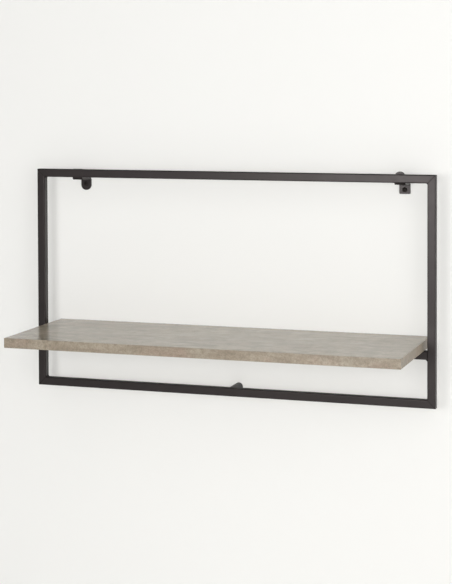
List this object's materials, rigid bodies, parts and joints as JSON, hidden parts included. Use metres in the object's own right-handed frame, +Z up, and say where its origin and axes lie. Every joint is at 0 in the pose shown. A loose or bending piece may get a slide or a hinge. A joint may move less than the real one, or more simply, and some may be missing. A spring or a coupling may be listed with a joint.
{
  "type": "wall shelf",
  "caption": "Wall shelf: a laminated board on a rail inside a rectangular frame of welded square steel tube, held off the wall by bent strip brackets and a round spacer.",
  "frame": {"origin": "on the wall plane, midway between the two wall holes in the brackets", "axes": "+X to the right seen from the front, +Y into the wall, +Z up"},
  "size_m": [0.65, 0.21, 0.354],
  "materials": {
    "powder_coat": "fine satin black powder coat on steel",
    "black_screw": "black oxide steel",
    "zinc_screw": "bright zinc plated steel",
    "black_plastic": "matt moulded black",
    "rubber_pad": "matt black rubber",
    "chipboard": "raw pressed chips",
    "laminate": "satin laminate with a mottled grey concrete pattern",
    "edge_band": "satin band, a little browner than the faces"
  },
  "bodies": {
    "root": {"frame_top_tube": "powder_coat", "frame_bottom_tube": "powder_coat", "frame_left_upright": "powder_coat", "frame_right_upright": "powder_coat", "frame_corner_welds": "powder_coat", "shelf_rail": "powder_coat", "rail_welds": "powder_coat", "front_tab_left": "powder_coat", "front_tab_right": "powder_coat", "rear_tab_left": "powder_coat", "rear_tab_right": "powder_coat", "tab_welds": "powder_coat", "wall_bracket_left": "powder_coat", "wall_bracket_right": "powder_coat", "bracket_screws": "black_screw", "wall_spacer": "black_plastic", "wall_spacer_pad": "rubber_pad", "wall_spacer_screw": "zinc_screw", "board_core": "chipboard", "board_top_laminate": "laminate", "board_bottom_laminate": "laminate", "board_front_band": "edge_band", "board_rear_band": "edge_band", "board_left_band": "edge_band", "board_right_band": "edge_band", "board_screws": "zinc_screw"}
  },
  "joints": []
}
